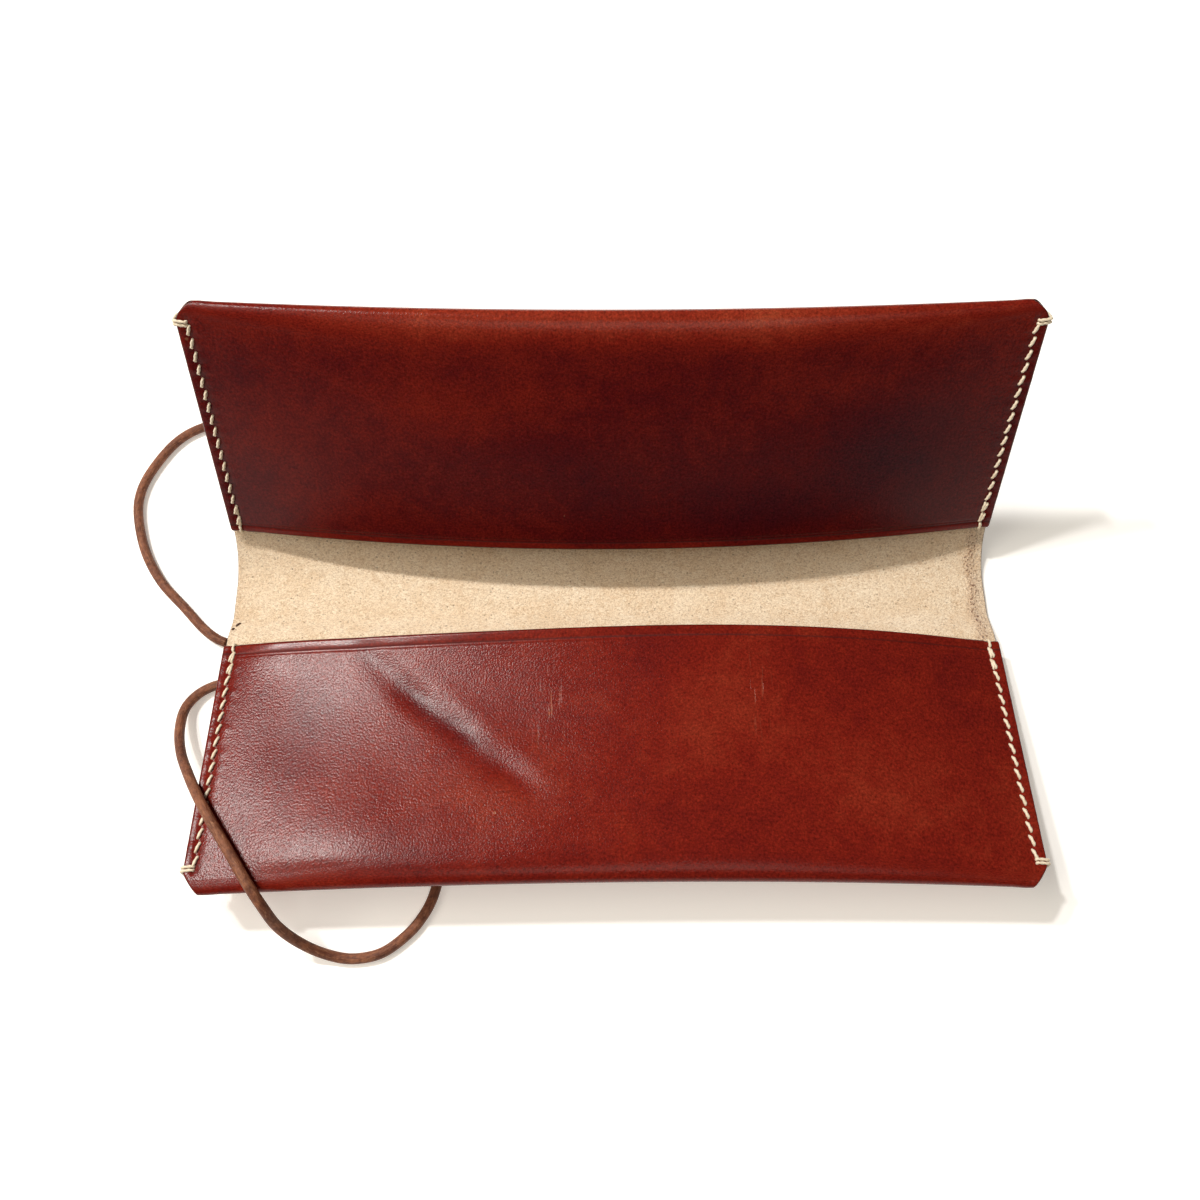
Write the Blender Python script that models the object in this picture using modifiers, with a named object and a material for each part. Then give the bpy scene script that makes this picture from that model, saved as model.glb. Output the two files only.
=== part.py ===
# Leather pencil case, open on a table like a book.
# One strip of hide runs along Y: a pocket, the spine, a pocket. Each end of the strip is folded
# back on itself and stitched at its two short sides, so that two long pockets face each other.
# X runs along the case's width, +Y towards the raised half, +Z up. The origin is on the table,
# in the middle of the spine's flat strip. Sizes are in metres, angles in radians.

import math

import bmesh
import bpy
from mathutils import Matrix, Vector

# The hide and the spine's profile
case_width = 0.230
hide = 0.0018  # thickness of the leather
contact_depth = 0.0084  # the spine's flat strip on the table, along Y
ramp_radius = 0.008  # where the spine leaves the table towards the front half
ramp_angle = math.radians(26)
rear_turn_radius = 0.0189  # mid-line radius of the turn up to the rear half
rear_slope = math.radians(61)
front_slope = math.radians(9)

# The pockets
pocket_depth = 0.073  # from the mouth to the outside of the fold
front_mouth_margin = 0.0039  # from the front bend line to the front pocket's mouth
rear_mouth_margin = 0.0005  # from the end of the rear turn to the rear pocket's mouth
front_mouth_gap = 0.0123  # how far each mouth stands open in its middle
rear_mouth_gap = 0.0102
fold_gap = 0.0046  # how far the fold stands open in its middle
fold_draw_in = 0.0013  # how far the open fold is drawn towards the mouth
corner_cut_along = 0.004  # the chamfer at each folded corner, along X
corner_cut_deep = 0.005  # and along the pocket's depth

# The saddle stitching
thread_diameter = 0.0007
seam_inset = 0.003  # from the short side to the row of holes
seam_border = 0.0042  # the band beside the seam where both layers lie flat
seam_start = 0.002  # from the mouth to the first hole
seam_end = 0.0074  # from the last hole to the outside of the fold
stitch_count = 17
hole_length = 0.0020
dip_half_length = 0.0007  # half the length of the thread's dip at a hole
dip_depth = 0.00035

# The tack stitch that holds the cord under the front half's left end: distances of its two
# holes from the left side and from the front bend line
tack_outer_inset = 0.0020
tack_outer_reach = 0.0029
tack_inner_inset = 0.0042
tack_inner_reach = 0.00205

# The cord
cord_diameter = 0.0029
cord_sides = 2  # bevel resolution: eight sides
samples_per_point = 2

# Clearances between pieces
bend_clearance = 0.0003
layer_gap = 0.0003
cord_clearance = 0.0003
thread_lift = 0.0001  # under a stitch that lies on the leather
hole_clearance = 0.0003

# Fineness of the round shapes
nose_steps = 8
seat_steps = 4
ramp_steps = 4
turn_steps = 6
fold_steps = 8
run_steps = 4
bulge_steps = 18

# Routes of the cord's two tails, chosen by hand on the table's surface (x, y, height)
upper_route = (
    (-0.1160, -0.0134, 0.0015),
    (-0.1196, -0.0118, 0.0015),
    (-0.1242, -0.0082, 0.0015),
    (-0.1303, -0.0018, 0.0015),
    (-0.1383, 0.0065, 0.0015),
    (-0.1445, 0.0166, 0.0016),
    (-0.1483, 0.0281, 0.0017),
    (-0.1489, 0.0365, 0.0017),
    (-0.1464, 0.0450, 0.0016),
    (-0.1402, 0.0550, 0.0015),
    (-0.1322, 0.0606, 0.0015),
    (-0.1195, 0.0640, 0.0015),
    (-0.1040, 0.0652, 0.0015),
    (-0.0850, 0.0648, 0.0015),
    (-0.0650, 0.0636, 0.0015),
    (-0.0440, 0.0624, 0.0015),
    (-0.0230, 0.0618, 0.0015),
    (-0.0010, 0.0622, 0.0015),
    (0.0210, 0.0634, 0.0015),
    (0.0420, 0.0640, 0.0015),
)
lower_route = (
    (-0.1155, -0.0137, 0.0015),
    (-0.1124, -0.0147, 0.0015),
    (-0.1094, -0.0168, 0.0015),
    (-0.1082, -0.0200, 0.0015),
    (-0.1096, -0.0236, 0.0015),
    (-0.1134, -0.0256, 0.0015),
    (-0.1184, -0.0268, 0.0016),
    (-0.1228, -0.0296, 0.0020),
    (-0.1255, -0.0344, 0.0032),
    (-0.1250, -0.0416, 0.0062),
    (-0.1222, -0.0490, 0.0102),
    (-0.1177, -0.0562, 0.0145),
    (-0.1128, -0.0634, 0.0180),
    (-0.1075, -0.0707, 0.0200),
    (-0.1021, -0.0779, 0.0215),
    (-0.0967, -0.0854, 0.0226),
    (-0.0925, -0.0915, 0.0205),
    (-0.0896, -0.0963, 0.0142),
    (-0.0850, -0.1001, 0.0074),
    (-0.0789, -0.1028, 0.0028),
    (-0.0721, -0.1040, 0.0015),
    (-0.0647, -0.1028, 0.0015),
    (-0.0587, -0.0990, 0.0015),
    (-0.0540, -0.0940, 0.0015),
    (-0.0505, -0.0870, 0.0015),
    (-0.0478, -0.0740, 0.0015),
    (-0.0450, -0.0600, 0.0015),
    (-0.0405, -0.0460, 0.0015),
    (-0.0335, -0.0330, 0.0015),
    (-0.0235, -0.0225, 0.0015),
    (-0.0095, -0.0168, 0.0015),
    (0.0080, -0.0152, 0.0015),
    (0.0260, -0.0150, 0.0015),
    (0.0440, -0.0150, 0.0015),
)

# Sizes that follow from those above
half_width = case_width / 2
half_hide = hide / 2
thread_radius = thread_diameter / 2
bend_seat_radius = half_hide + bend_clearance
seat_reach = math.sqrt(bend_seat_radius**2 - half_hide**2)
front_rise = cord_diameter + cord_clearance  # the cord lies under the front bend
ramp_drop = ramp_radius * (1 - math.cos(ramp_angle))
ramp_length = (front_rise - ramp_drop) / math.sin(ramp_angle)
front_axis_y = -(contact_depth / 2 + ramp_radius * math.sin(ramp_angle) + ramp_length * math.cos(ramp_angle))
front_axis_z = half_hide + front_rise
flat_seam_x = half_width - seam_border
layer_pitch = hide + layer_gap  # between the mid-lines of two layers that lie flat
stitch_top = half_hide + layer_gap + hide + thread_lift + thread_radius
stitch_bottom = -half_hide - thread_lift - thread_radius
seam_x = half_width - seam_inset


def clear_scene():
    for thing in list(bpy.data.objects):
        bpy.data.objects.remove(thing, do_unlink=True)


def new_collection(name):
    collection = bpy.data.collections.new(name)
    bpy.context.scene.collection.children.link(collection)
    return collection


def new_material(name, color, roughness):
    material = bpy.data.materials.new(name)
    material.use_nodes = True
    shader = material.node_tree.nodes["Principled BSDF"]
    shader.inputs["Base Color"].default_value = (*color, 1)
    shader.inputs["Roughness"].default_value = roughness
    shader.inputs["Metallic"].default_value = 0
    material.diffuse_color = (*color, 1)
    return material


def walk(start, heading, moves):
    # Stations (point, heading) along a line of straights and turns in a plane
    point = Vector(start)
    stations = [(point.copy(), heading)]
    for length, radius, angle, steps in moves:
        if radius:
            for _ in range(steps):
                step = angle / steps
                chord = 2 * radius * math.sin(step / 2)
                point += chord * Vector((math.cos(heading + step / 2), math.sin(heading + step / 2)))
                heading += step
                stations.append((point.copy(), heading))
        else:
            point += length * Vector((math.cos(heading), math.sin(heading)))
            stations.append((point.copy(), heading))
    return stations


def straight(length):
    return length, 0, 0, 1


def turn(radius, angle, steps):
    return 0, radius, angle, steps


def beside(station, distance):
    point, heading = station
    return point + distance * Vector((-math.sin(heading), math.cos(heading)))


def arc(centre, radius, first, last, steps):
    # Points between the two ends of an arc, without the ends themselves
    angles = [first + (last - first) * i / steps for i in range(1, steps)]
    return [centre + radius * Vector((math.cos(a), math.sin(a))) for a in angles]


def finish_mesh(mesh, weld=1e-7):
    bm = bmesh.new()
    bm.from_mesh(mesh)
    bmesh.ops.remove_doubles(bm, verts=bm.verts, dist=weld)
    bmesh.ops.recalc_face_normals(bm, faces=bm.faces)
    bm.to_mesh(mesh)
    bm.free()
    mesh.shade_smooth()
    mesh.set_sharp_from_angle(angle=math.radians(35))


def add_piece(name, mesh, material, collection, parent=None):
    piece = bpy.data.objects.new(name, mesh)
    if material:
        mesh.materials.clear()
        mesh.materials.append(material)
    collection.objects.link(piece)
    piece.parent = parent
    return piece


def curve_mesh(curve):
    # A curve's evaluated mesh, with its caps welded on
    temporary = bpy.data.objects.new("temporary", curve)
    bpy.context.scene.collection.objects.link(temporary)
    bpy.context.view_layer.update()
    evaluated = temporary.evaluated_get(bpy.context.evaluated_depsgraph_get())
    mesh = bpy.data.meshes.new_from_object(evaluated)
    bpy.data.objects.remove(temporary, do_unlink=True)
    bpy.data.curves.remove(curve)
    return mesh


def extruded_plate(name, outline, side, material, collection, parent):
    # A closed outline in the YZ plane, run along the whole width. side turns Y round
    curve = bpy.data.curves.new(name, "CURVE")
    curve.dimensions = "2D"
    curve.fill_mode = "BOTH"
    curve.extrude = half_width
    spline = curve.splines.new("POLY")
    spline.points.add(len(outline) - 1)
    for point, corner in zip(spline.points, outline):
        point.co = (side * corner.x, corner.y, 0, 1)
    spline.use_cyclic_u = True
    mesh = curve_mesh(curve)
    mesh.transform(Matrix(((0, 0, 1, 0), (1, 0, 0, 0), (0, 1, 0, 0), (0, 0, 0, 1))))
    finish_mesh(mesh)
    return add_piece(name, mesh, material, collection, parent)


def tube(name, points, radius, resolution, cyclic):
    curve = bpy.data.curves.new(name, "CURVE")
    curve.dimensions = "3D"
    curve.bevel_depth = radius
    curve.bevel_resolution = resolution
    curve.use_fill_caps = not cyclic
    spline = curve.splines.new("POLY")
    spline.points.add(len(points) - 1)
    for point, place in zip(spline.points, points):
        point.co = (*place, 1)
    spline.use_cyclic_u = cyclic
    return curve


def boxes(name, places, sizes, turns, collection, parent):
    # Cutter of several separate boxes, each at its own place, size and turn about Z
    bm = bmesh.new()
    for place, size, angle in zip(places, sizes, turns):
        matrix = Matrix.Translation(place) @ Matrix.Rotation(angle, 4, "Z") @ Matrix.Diagonal((*size, 1))
        bmesh.ops.create_cube(bm, size=1, matrix=matrix)
    mesh = bpy.data.meshes.new(name)
    bm.to_mesh(mesh)
    bm.free()
    cutter = add_piece(name, mesh, None, collection, parent)
    cutter.hide_render = True
    cutter.display_type = "WIRE"
    return cutter


def boolean(piece, other, operation):
    modifier = piece.modifiers.new(other.name, "BOOLEAN")
    modifier.operation = operation
    modifier.solver = "EXACT"
    modifier.object = other


def spine_stations():
    moves = (
        straight(ramp_length),
        turn(ramp_radius, ramp_angle, ramp_steps),
        straight(contact_depth),
        turn(rear_turn_radius, rear_slope / 2, turn_steps),
    )
    return walk((front_axis_y, front_axis_z), -ramp_angle, moves)


def spine_outline(stations):
    # Both long edges are rounded about the bend lines
    upper = [beside(station, half_hide) for station in stations]
    lower = [beside(station, -half_hide) for station in reversed(stations)]
    first, first_heading = stations[0]
    last, last_heading = stations[-1]
    quarter = math.pi / 2
    rear_nose = arc(last, half_hide, last_heading + quarter, last_heading - quarter, nose_steps)
    front_nose = arc(first, half_hide, first_heading - quarter, first_heading - 3 * quarter, nose_steps)
    return upper + rear_nose + lower + front_nose


def describe_half(side, slope, turn_radius, turn_angle, mouth_margin, mouth_gap):
    # Sizes of one half in its own frame: u away from its bend line, h towards its pocket
    wall_u = turn_radius * math.sin(turn_angle)
    wall_h = -turn_radius * (1 - math.cos(turn_angle))
    mouth = wall_u + mouth_margin
    open_fold_radius = (layer_pitch + fold_gap) / 2
    open_fold_centre = mouth + pocket_depth - fold_draw_in - open_fold_radius - half_hide
    first_hole = mouth + seam_start
    last_hole = mouth + pocket_depth - seam_end
    pitch = (last_hole - first_hole) / stitch_count
    return {
        "side": side,
        "slope": slope,
        "turn_radius": turn_radius,
        "turn_angle": turn_angle,
        "wall_u": wall_u,
        "wall_h": wall_h,
        "mouth": mouth,
        "mouth_gap": mouth_gap,
        "wall_end": open_fold_centre - 2 * layer_gap,
        "holes": [first_hole + pitch * i for i in range(stitch_count + 1)],
    }


def wall_outline(half):
    heading = -half["turn_angle"]
    lip = Vector((math.cos(heading), math.sin(heading))) * seat_reach
    moves = []
    if half["turn_radius"]:
        swept = seat_reach / half["turn_radius"]
        moves.append(turn(half["turn_radius"], half["turn_angle"] - swept, turn_steps))
        heading += swept
    moves.append(straight(half["wall_end"] - max(half["wall_u"], seat_reach)))
    stations = walk(lip, heading, moves)
    upper = [beside(station, half_hide) for station in stations]
    lower = [beside(station, -half_hide) for station in reversed(stations)]
    spread = math.asin(half_hide / bend_seat_radius)
    start = -half["turn_angle"]
    seat = arc(Vector((0, 0)), bend_seat_radius, start - spread, start + spread, seat_steps)
    return upper + lower + seat


def bulge(x):
    # 0 at the seams, 1 in the middle of the width
    return max(0.0, 1 - (x / flat_seam_x) ** 2)


def panel_profile(half, x):
    # Mid-line of the folded layer at x: the short run beside the wall's end, the fold, the panel
    share = bulge(x)
    radius = (layer_pitch + fold_gap * share) / 2
    outside = half["mouth"] + pocket_depth - fold_draw_in * share
    centre = Vector((outside - radius - half_hide, half["wall_h"] + radius))
    start = Vector((half["wall_end"] + layer_gap, half["wall_h"]))
    quarter = math.pi / 2
    fold = [centre - Vector((0, radius))]
    fold += arc(centre, radius, -quarter, quarter, fold_steps)
    fold.append(centre + Vector((0, radius)))
    mouth_height = half["wall_h"] + layer_pitch + half["mouth_gap"] * share
    mouth = Vector((half["mouth"], mouth_height))
    run = [fold[-1].lerp(mouth, i / run_steps) for i in range(1, run_steps + 1)]
    return [start] + fold + run


def pocket_panel(name, half, material, collection, parent):
    inner = [-flat_seam_x + 2 * flat_seam_x * i / bulge_steps for i in range(bulge_steps + 1)]
    columns = [-half_width] + inner + [half_width]
    profiles = [panel_profile(half, x) for x in columns]
    across = len(columns) - 1
    along = len(profiles[0]) - 1
    bm = bmesh.new()
    bmesh.ops.create_grid(bm, x_segments=across, y_segments=along, size=0.5)
    for vertex in bm.verts:
        column = round((vertex.co.x + 0.5) * across)
        row = round((vertex.co.y + 0.5) * along)
        place = profiles[column][row]
        vertex.co = (columns[column], half["side"] * place.x, place.y)
    mesh = bpy.data.meshes.new(name)
    bm.to_mesh(mesh)
    bm.free()
    mesh.shade_smooth()
    panel = add_piece(name, mesh, material, collection, parent)
    shell = panel.modifiers.new("thickness", "SOLIDIFY")
    shell.thickness = hide
    shell.offset = 0
    shell.use_even_offset = True
    return panel


def hole_cutter(name, half, collection, parent):
    size = (thread_diameter + 2 * hole_clearance, hole_length, 4 * hide)
    places = []
    for x in (-seam_x, seam_x):
        for u in half["holes"]:
            places.append((x, half["side"] * u, half["wall_h"] + hide / 2))
    return boxes(name, places, [size] * len(places), [0] * len(places), collection, parent)


def corner_cutter(name, half, collection, parent):
    # Each box's inner face runs through both ends of the chamfer
    angle = math.atan2(corner_cut_deep, corner_cut_along)
    reach = 2 * (corner_cut_along + corner_cut_deep)
    outside = half["mouth"] + pocket_depth
    places = []
    turns = []
    for x_side in (-1, 1):
        middle = Vector((half_width - corner_cut_along / 2, outside - corner_cut_deep / 2))
        out = middle + Vector((math.sin(angle), math.cos(angle))) * reach / 2
        places.append((x_side * out.x, half["side"] * out.y, half["wall_h"]))
        turns.append(-x_side * half["side"] * angle)
    size = (reach, reach, 8 * hide)
    return boxes(name, places, [size] * 2, turns, collection, parent)


def stitched_row(half, x, height, dip, holes):
    # The thread dips into each hole that it passes
    row = []
    for u in holes:
        for along, drop in ((-dip_half_length, 0), (0, dip), (dip_half_length, 0)):
            row.append(Vector((x, half["side"] * (u + along), half["wall_h"] + height - drop)))
    return row


def seam_thread(name, half, x_side, material, collection, cutters, parent):
    # One closed loop of thread: along the pocket side, over the edge at the fold, back along
    # the outer side and through the first hole. Its two passes meet in every other hole
    x = x_side * seam_x
    edge_x = x_side * (half_width + thread_lift + thread_radius)
    middle_holes = half["holes"][1:-1]
    first = half["side"] * half["holes"][0]
    last = half["side"] * half["holes"][-1]
    top = half["wall_h"] + stitch_top
    bottom = half["wall_h"] + stitch_bottom
    outer_row = stitched_row(half, x, stitch_bottom, -dip_depth, middle_holes)
    points = [Vector((x, first, top))]
    points += stitched_row(half, x, stitch_top, dip_depth, middle_holes)
    points += [Vector((x, last, top)), Vector((edge_x, last, top))]
    points += [Vector((edge_x, last, bottom)), Vector((x, last, bottom))]
    points += outer_row[::-1]
    points.append(Vector((x, first, bottom)))
    mesh = curve_mesh(tube(name, points, thread_radius, 0, True))
    finish_mesh(mesh)
    thread = add_piece(name, mesh, material, collection, parent)
    bm = bmesh.new()
    lengths = [top - bottom - 2 * dip_depth] * len(middle_holes) + [top - bottom]
    for u, length in zip(half["holes"][1:], lengths):
        place = Matrix.Translation((x, half["side"] * u, (top + bottom) / 2))
        bmesh.ops.create_cone(
            bm,
            cap_ends=True,
            segments=6,
            radius1=thread_radius * 0.8,
            radius2=thread_radius * 0.8,
            depth=length,
            matrix=place,
        )
    pegs_mesh = bpy.data.meshes.new(name + "_through")
    bm.to_mesh(pegs_mesh)
    bm.free()
    pegs = add_piece(name + "_through", pegs_mesh, None, cutters, parent)
    pegs.hide_render = True
    pegs.display_type = "WIRE"
    boolean(thread, pegs, "UNION")
    return thread


def smooth_route(route):
    # Points of a smooth curve through the route's own points
    points = [Vector(place) for place in route]
    ends = [2 * points[0] - points[1]] + points + [2 * points[-1] - points[-2]]
    smooth = []
    for before, start, end, after in zip(ends, ends[1:], ends[2:], ends[3:]):
        for i in range(samples_per_point):
            t = i / samples_per_point
            smooth.append(
                0.5
                * (
                    2 * start
                    + (end - before) * t
                    + (2 * before - 5 * start + 4 * end - after) * t**2
                    + (3 * start - before - 3 * end + after) * t**3
                )
            )
    smooth.append(points[-1])
    return smooth


def cord_tail(name, route, material, collection, parent, origin):
    points = [place - Vector(origin) for place in smooth_route(route)]
    curve = tube(name, points, cord_diameter / 2, cord_sides, False)
    curve.materials.append(material)
    tail = bpy.data.objects.new(name, curve)
    collection.objects.link(tail)
    tail.location = origin
    tail.parent = parent
    return tail


def tack_stitch(name, half, material, collection, parent):
    height = half_hide + thread_lift + thread_radius
    foot = -half_hide - layer_gap
    outer = (-(half_width - tack_outer_inset), half["side"] * tack_outer_reach)
    inner = (-(half_width - tack_inner_inset), half["side"] * tack_inner_reach)
    points = [Vector((*outer, foot)), Vector((*outer, height)), Vector((*inner, height)), Vector((*inner, foot))]
    mesh = curve_mesh(tube(name, points, thread_radius, 1, False))
    finish_mesh(mesh)
    return add_piece(name, mesh, material, collection, parent)


def tack_hole_cutter(name, half, collection, parent):
    width = thread_diameter + 2 * hole_clearance
    places = [
        (-(half_width - tack_outer_inset), half["side"] * tack_outer_reach, 0),
        (-(half_width - tack_inner_inset), half["side"] * tack_inner_reach, 0),
    ]
    return boxes(name, places, [(width, width, 4 * hide)] * 2, [0] * 2, collection, parent)


def bend_line(name, y, z, slope, collection):
    # Empty on the line that a half turns about, tilted to the half's resting slope
    empty = bpy.data.objects.new(name, None)
    collection.objects.link(empty)
    empty.location = (0, y, z)
    empty.rotation_euler = (slope, 0, 0)
    return empty


def build_half(name, half, bend, leather, thread, parts, cutters):
    holes = hole_cutter(name + "_awl_holes", half, cutters, bend)
    corners = corner_cutter(name + "_corner_cuts", half, cutters, bend)
    wall = extruded_plate(name + "_back_wall", wall_outline(half), half["side"], leather, parts, bend)
    boolean(wall, holes, "DIFFERENCE")
    panel = pocket_panel(name + "_pocket_panel", half, leather, parts, bend)
    boolean(panel, holes, "DIFFERENCE")
    boolean(panel, corners, "DIFFERENCE")
    seam_thread(name + "_left_seam_thread", half, -1, thread, parts, cutters, bend)
    seam_thread(name + "_right_seam_thread", half, 1, thread, parts, cutters, bend)
    return wall


clear_scene()
parts = new_collection("leather_pencil_case")
cutters = new_collection("cutters")

leather = new_material("mahogany_leather", (0.17, 0.022, 0.012), 0.42)
flesh = new_material("natural_flesh_side", (0.72, 0.50, 0.29), 0.85)
thread = new_material("waxed_cream_thread", (0.80, 0.72, 0.52), 0.6)
cord_leather = new_material("brown_cord_leather", (0.24, 0.095, 0.045), 0.5)

stations = spine_stations()
extruded_plate("spine", spine_outline(stations), 1, flesh, parts, None)

front = describe_half(-1, front_slope, 0, 0, front_mouth_margin, front_mouth_gap)
rear = describe_half(1, rear_slope, rear_turn_radius, rear_slope / 2, rear_mouth_margin, rear_mouth_gap)

front_bend = bend_line("front_bend_line", front_axis_y, front_axis_z, -front_slope, parts)
rear_axis = stations[-1][0]
rear_bend = bend_line("rear_bend_line", rear_axis.x, rear_axis.y, rear_slope, parts)

front_wall = build_half("front", front, front_bend, leather, thread, parts, cutters)
build_half("rear", rear, rear_bend, leather, thread, parts, cutters)

boolean(front_wall, tack_hole_cutter("front_tack_holes", front, cutters, front_bend), "DIFFERENCE")
tack_stitch("cord_tack_stitch", front, thread, parts, front_bend)

cord_tail("cord_upper_tail", upper_route, cord_leather, parts, None, (0, 0, 0))
lower_tail = cord_tail(
    "cord_lower_tail", lower_route, cord_leather, parts, None, (0, front_axis_y, front_axis_z)
)

for label, half in (("front", front), ("rear", rear)):
    pitch = half["holes"][1] - half["holes"][0]
    print(label, "stitch pitch", round(pitch * 1000, 3), "mm")
for label, route in (("upper", upper_route), ("lower", lower_route)):
    smooth = smooth_route(route)
    length = sum((b - a).length for a, b in zip(smooth, smooth[1:]))
    print(label, "tail length", round(length * 1000, 1), "mm")
print("front bend line", round(front_axis_y * 1000, 2), round(front_axis_z * 1000, 2))
print("rear bend line", round(rear_axis.x * 1000, 2), round(rear_axis.y * 1000, 2))
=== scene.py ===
import math

import bmesh
import bpy
from mathutils import Matrix, Vector, noise
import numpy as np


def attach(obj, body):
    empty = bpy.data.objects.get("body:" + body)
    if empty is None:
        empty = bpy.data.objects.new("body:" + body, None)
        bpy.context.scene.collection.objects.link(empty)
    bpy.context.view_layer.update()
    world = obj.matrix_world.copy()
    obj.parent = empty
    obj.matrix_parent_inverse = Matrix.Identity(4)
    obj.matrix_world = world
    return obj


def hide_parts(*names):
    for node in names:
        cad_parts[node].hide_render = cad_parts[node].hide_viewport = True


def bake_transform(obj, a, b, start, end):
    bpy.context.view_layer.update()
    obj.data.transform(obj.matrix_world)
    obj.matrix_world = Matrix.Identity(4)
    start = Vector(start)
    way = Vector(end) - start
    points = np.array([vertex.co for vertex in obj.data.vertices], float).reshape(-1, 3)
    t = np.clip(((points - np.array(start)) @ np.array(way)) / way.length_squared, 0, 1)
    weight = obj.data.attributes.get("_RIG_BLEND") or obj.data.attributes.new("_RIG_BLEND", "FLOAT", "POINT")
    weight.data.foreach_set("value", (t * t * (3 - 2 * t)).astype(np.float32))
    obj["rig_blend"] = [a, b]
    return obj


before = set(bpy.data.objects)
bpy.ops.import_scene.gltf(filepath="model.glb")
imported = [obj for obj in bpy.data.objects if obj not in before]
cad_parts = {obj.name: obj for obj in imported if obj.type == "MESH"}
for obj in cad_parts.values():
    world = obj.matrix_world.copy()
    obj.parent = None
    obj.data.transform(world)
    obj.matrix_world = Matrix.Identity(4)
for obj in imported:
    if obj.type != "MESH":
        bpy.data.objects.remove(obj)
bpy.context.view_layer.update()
print("stage 1: the packed case is loaded")


# Lengths are in metres. Each half of the case has a flat frame of its own: u runs along the wall
# away from the bend line, h stands off the wall towards the pocket.

hide = {
    "width": 0.230,
    "thickness": 0.0018,
    "layerPitch": 0.00190,  # between the mid-lines of two layers that are sewn together
    "seamBand": 0.0042,  # the flat band beside each side
    "pocketDepth": 0.073,
    "foldGap": 0.0046,
    "foldDrawIn": 0.0019,
    "shoulderAtSeam": 0.0026,  # how far the rolled fold reaches into the panel
    "shoulderInMiddle": 0.0105,
    "mouthCorner": 0.0009,  # radius of the panel's corners at the mouth
    "edgeRound": 0.0006,  # how far in from its edges the hide is thinned and rounded
    "edgeDye": (0.00012, 0.00044),  # dark up to the first distance from the edge, none past the second
    "lipRise": 0.00009,  # the mouth's band stands up a little
    "creaseDepth": 0.00011,
    "creases": ((0, 0.00036, 1), (0.0009, 0.00022, 0.6)),  # pressed lines: offset, width, strength
    "creaseReach": 0.0021,  # from the first line to the last trace
    "fineWave": 0.00006,
    "underShare": 0.6,  # how much of the seam's relief shows under the wall
}

frontHalf = {
    "name": "front",
    "side": -1,
    "body": "front_half",
    "axis": (0.012608, 0.0041),
    "slope": math.radians(9),
    "wallHeight": 0.0,
    "mouth": 0.0039,
    "mouthGap": 0.0137,
    "crease": 0.0031,  # from the mouth to the line that is pressed in beside it
    "crown": -0.0008,  # how much the panel swells halfway down
    "wave": 0.00012,  # how uneven the panel is
    "waveSeed": 3.1,
    "bulgeShift": 0.006,  # the mouth's highest point, along X
    "shoulderPower": 2.2,  # higher: the rolled fold deepens only near the middle
    "cornerRound": 0.35,  # 0 cuts the folded corners straight, 1 rounds them
    "corner": (0.0041, 0.0047),  # cut off across and along at the folded corners
    "seamEnd": 0.0066,  # from the last hole to the fold
    "barLean": 0.0002,  # how far the corner bars' outer ends lie towards the fold
    "slant": {-1: -0.00046, 1: 0.00042},  # how far each stitch leans along X, by side
    # from the spine's middle: radius, angle and rows of each bend, or length, 0 and rows if flat
    "bend": (
        (0.0042, 0, 3),
        (0.008, math.radians(26), 8),
        (0.003953, 0, 4),
        (-0.010, math.radians(17), 7),
    ),
    "baseTone": -0.01,
    "blendStart": (0, -0.0092, 0.0015),
    "blendEnd": (0, -0.0162, 0.0068),
}

rearHalf = {
    "name": "rear",
    "side": 1,
    "body": "rear_half",
    "axis": (0.013792, 0.003515),
    "slope": math.radians(61),
    "wallHeight": -0.002615,
    "mouth": 0.010092,
    "mouthGap": 0.0102,
    "crease": 0.0024,
    "crown": 0.0005,
    "wave": 0.00034,
    "waveSeed": 9.4,
    "bulgeShift": 0.0,
    "shoulderPower": 1.0,
    "cornerRound": 0.9,
    "corner": (0.0050, 0.0046),
    "seamEnd": 0.0055,
    "barLean": 0.0004,
    "slant": {-1: 0.00044, 1: 0.00046},
    "bend": ((0.0042, 0, 3), (0.0189, math.radians(61), 22)),
    # darker than the front: partly the leather's own tone, partly painted shade
    "baseTone": -0.36,
    "blendStart": (0, 0.0125, -0.0002),
    "blendEnd": (0, 0.0170, 0.0120),
}

seam = {
    "inset": 0.0030,
    "fromMouth": 0.0020,
    "stitches": 17,
    "threadRadius": 0.00044,
    "visible": 0.70,  # the share of the pitch that a stitch covers
    "lift": 0.00028,
    "slender": 0.42,  # how much thinner a stitch is at its ends
    "plunge": 0.0008,  # how deep its ends go into the leather
    "skin": -0.0001,  # level of the thread's middle where a stitch meets the leather
    "sunk": (0.00018, 0.00012),  # how deep the stitches lie, outside and under the wall
    "doubled": {"stitches": 2, "closer": 0.4, "aside": 0.00044, "sunk": 0.00014},  # at the mouth
    "barSpread": 0.00050,  # half the distance between the two turns at the last hole
    "barClear": (0.00034, 0.00022),  # their middle past the edge, and above the leather
}

# How the thread shapes the leather. Each rib or groove has its offset outwards from the row of
# holes, its width and its height.
seamShape = {
    "reach": 0.008,
    "ends": (0.0010, 0.0028),
    "channel": (0, 0.0010, -0.00020),
    "hole": (0, 0.0007, -0.00024),
    "outerPucker": (0.0016, 0.0009, 0.000221),
    "innerPucker": (-0.0021, 0.0014, 0.000130),
}

halfWidth = hide["width"] / 2
halfHide = hide["thickness"] / 2
seamX = halfWidth - seam["inset"]
bandX = halfWidth - hide["seamBand"]


def bell(value, width):
    return math.exp(-((value / width) ** 2))


def ribHeight(off, shape):
    # a rib or a groove, at a distance off its line
    offset, width, height = shape
    return height * bell(off - offset, width)


def smoothStep(low, high, value):
    share = min(max((value - low) / (high - low), 0), 1)
    return share * share * (3 - 2 * share)


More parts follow.
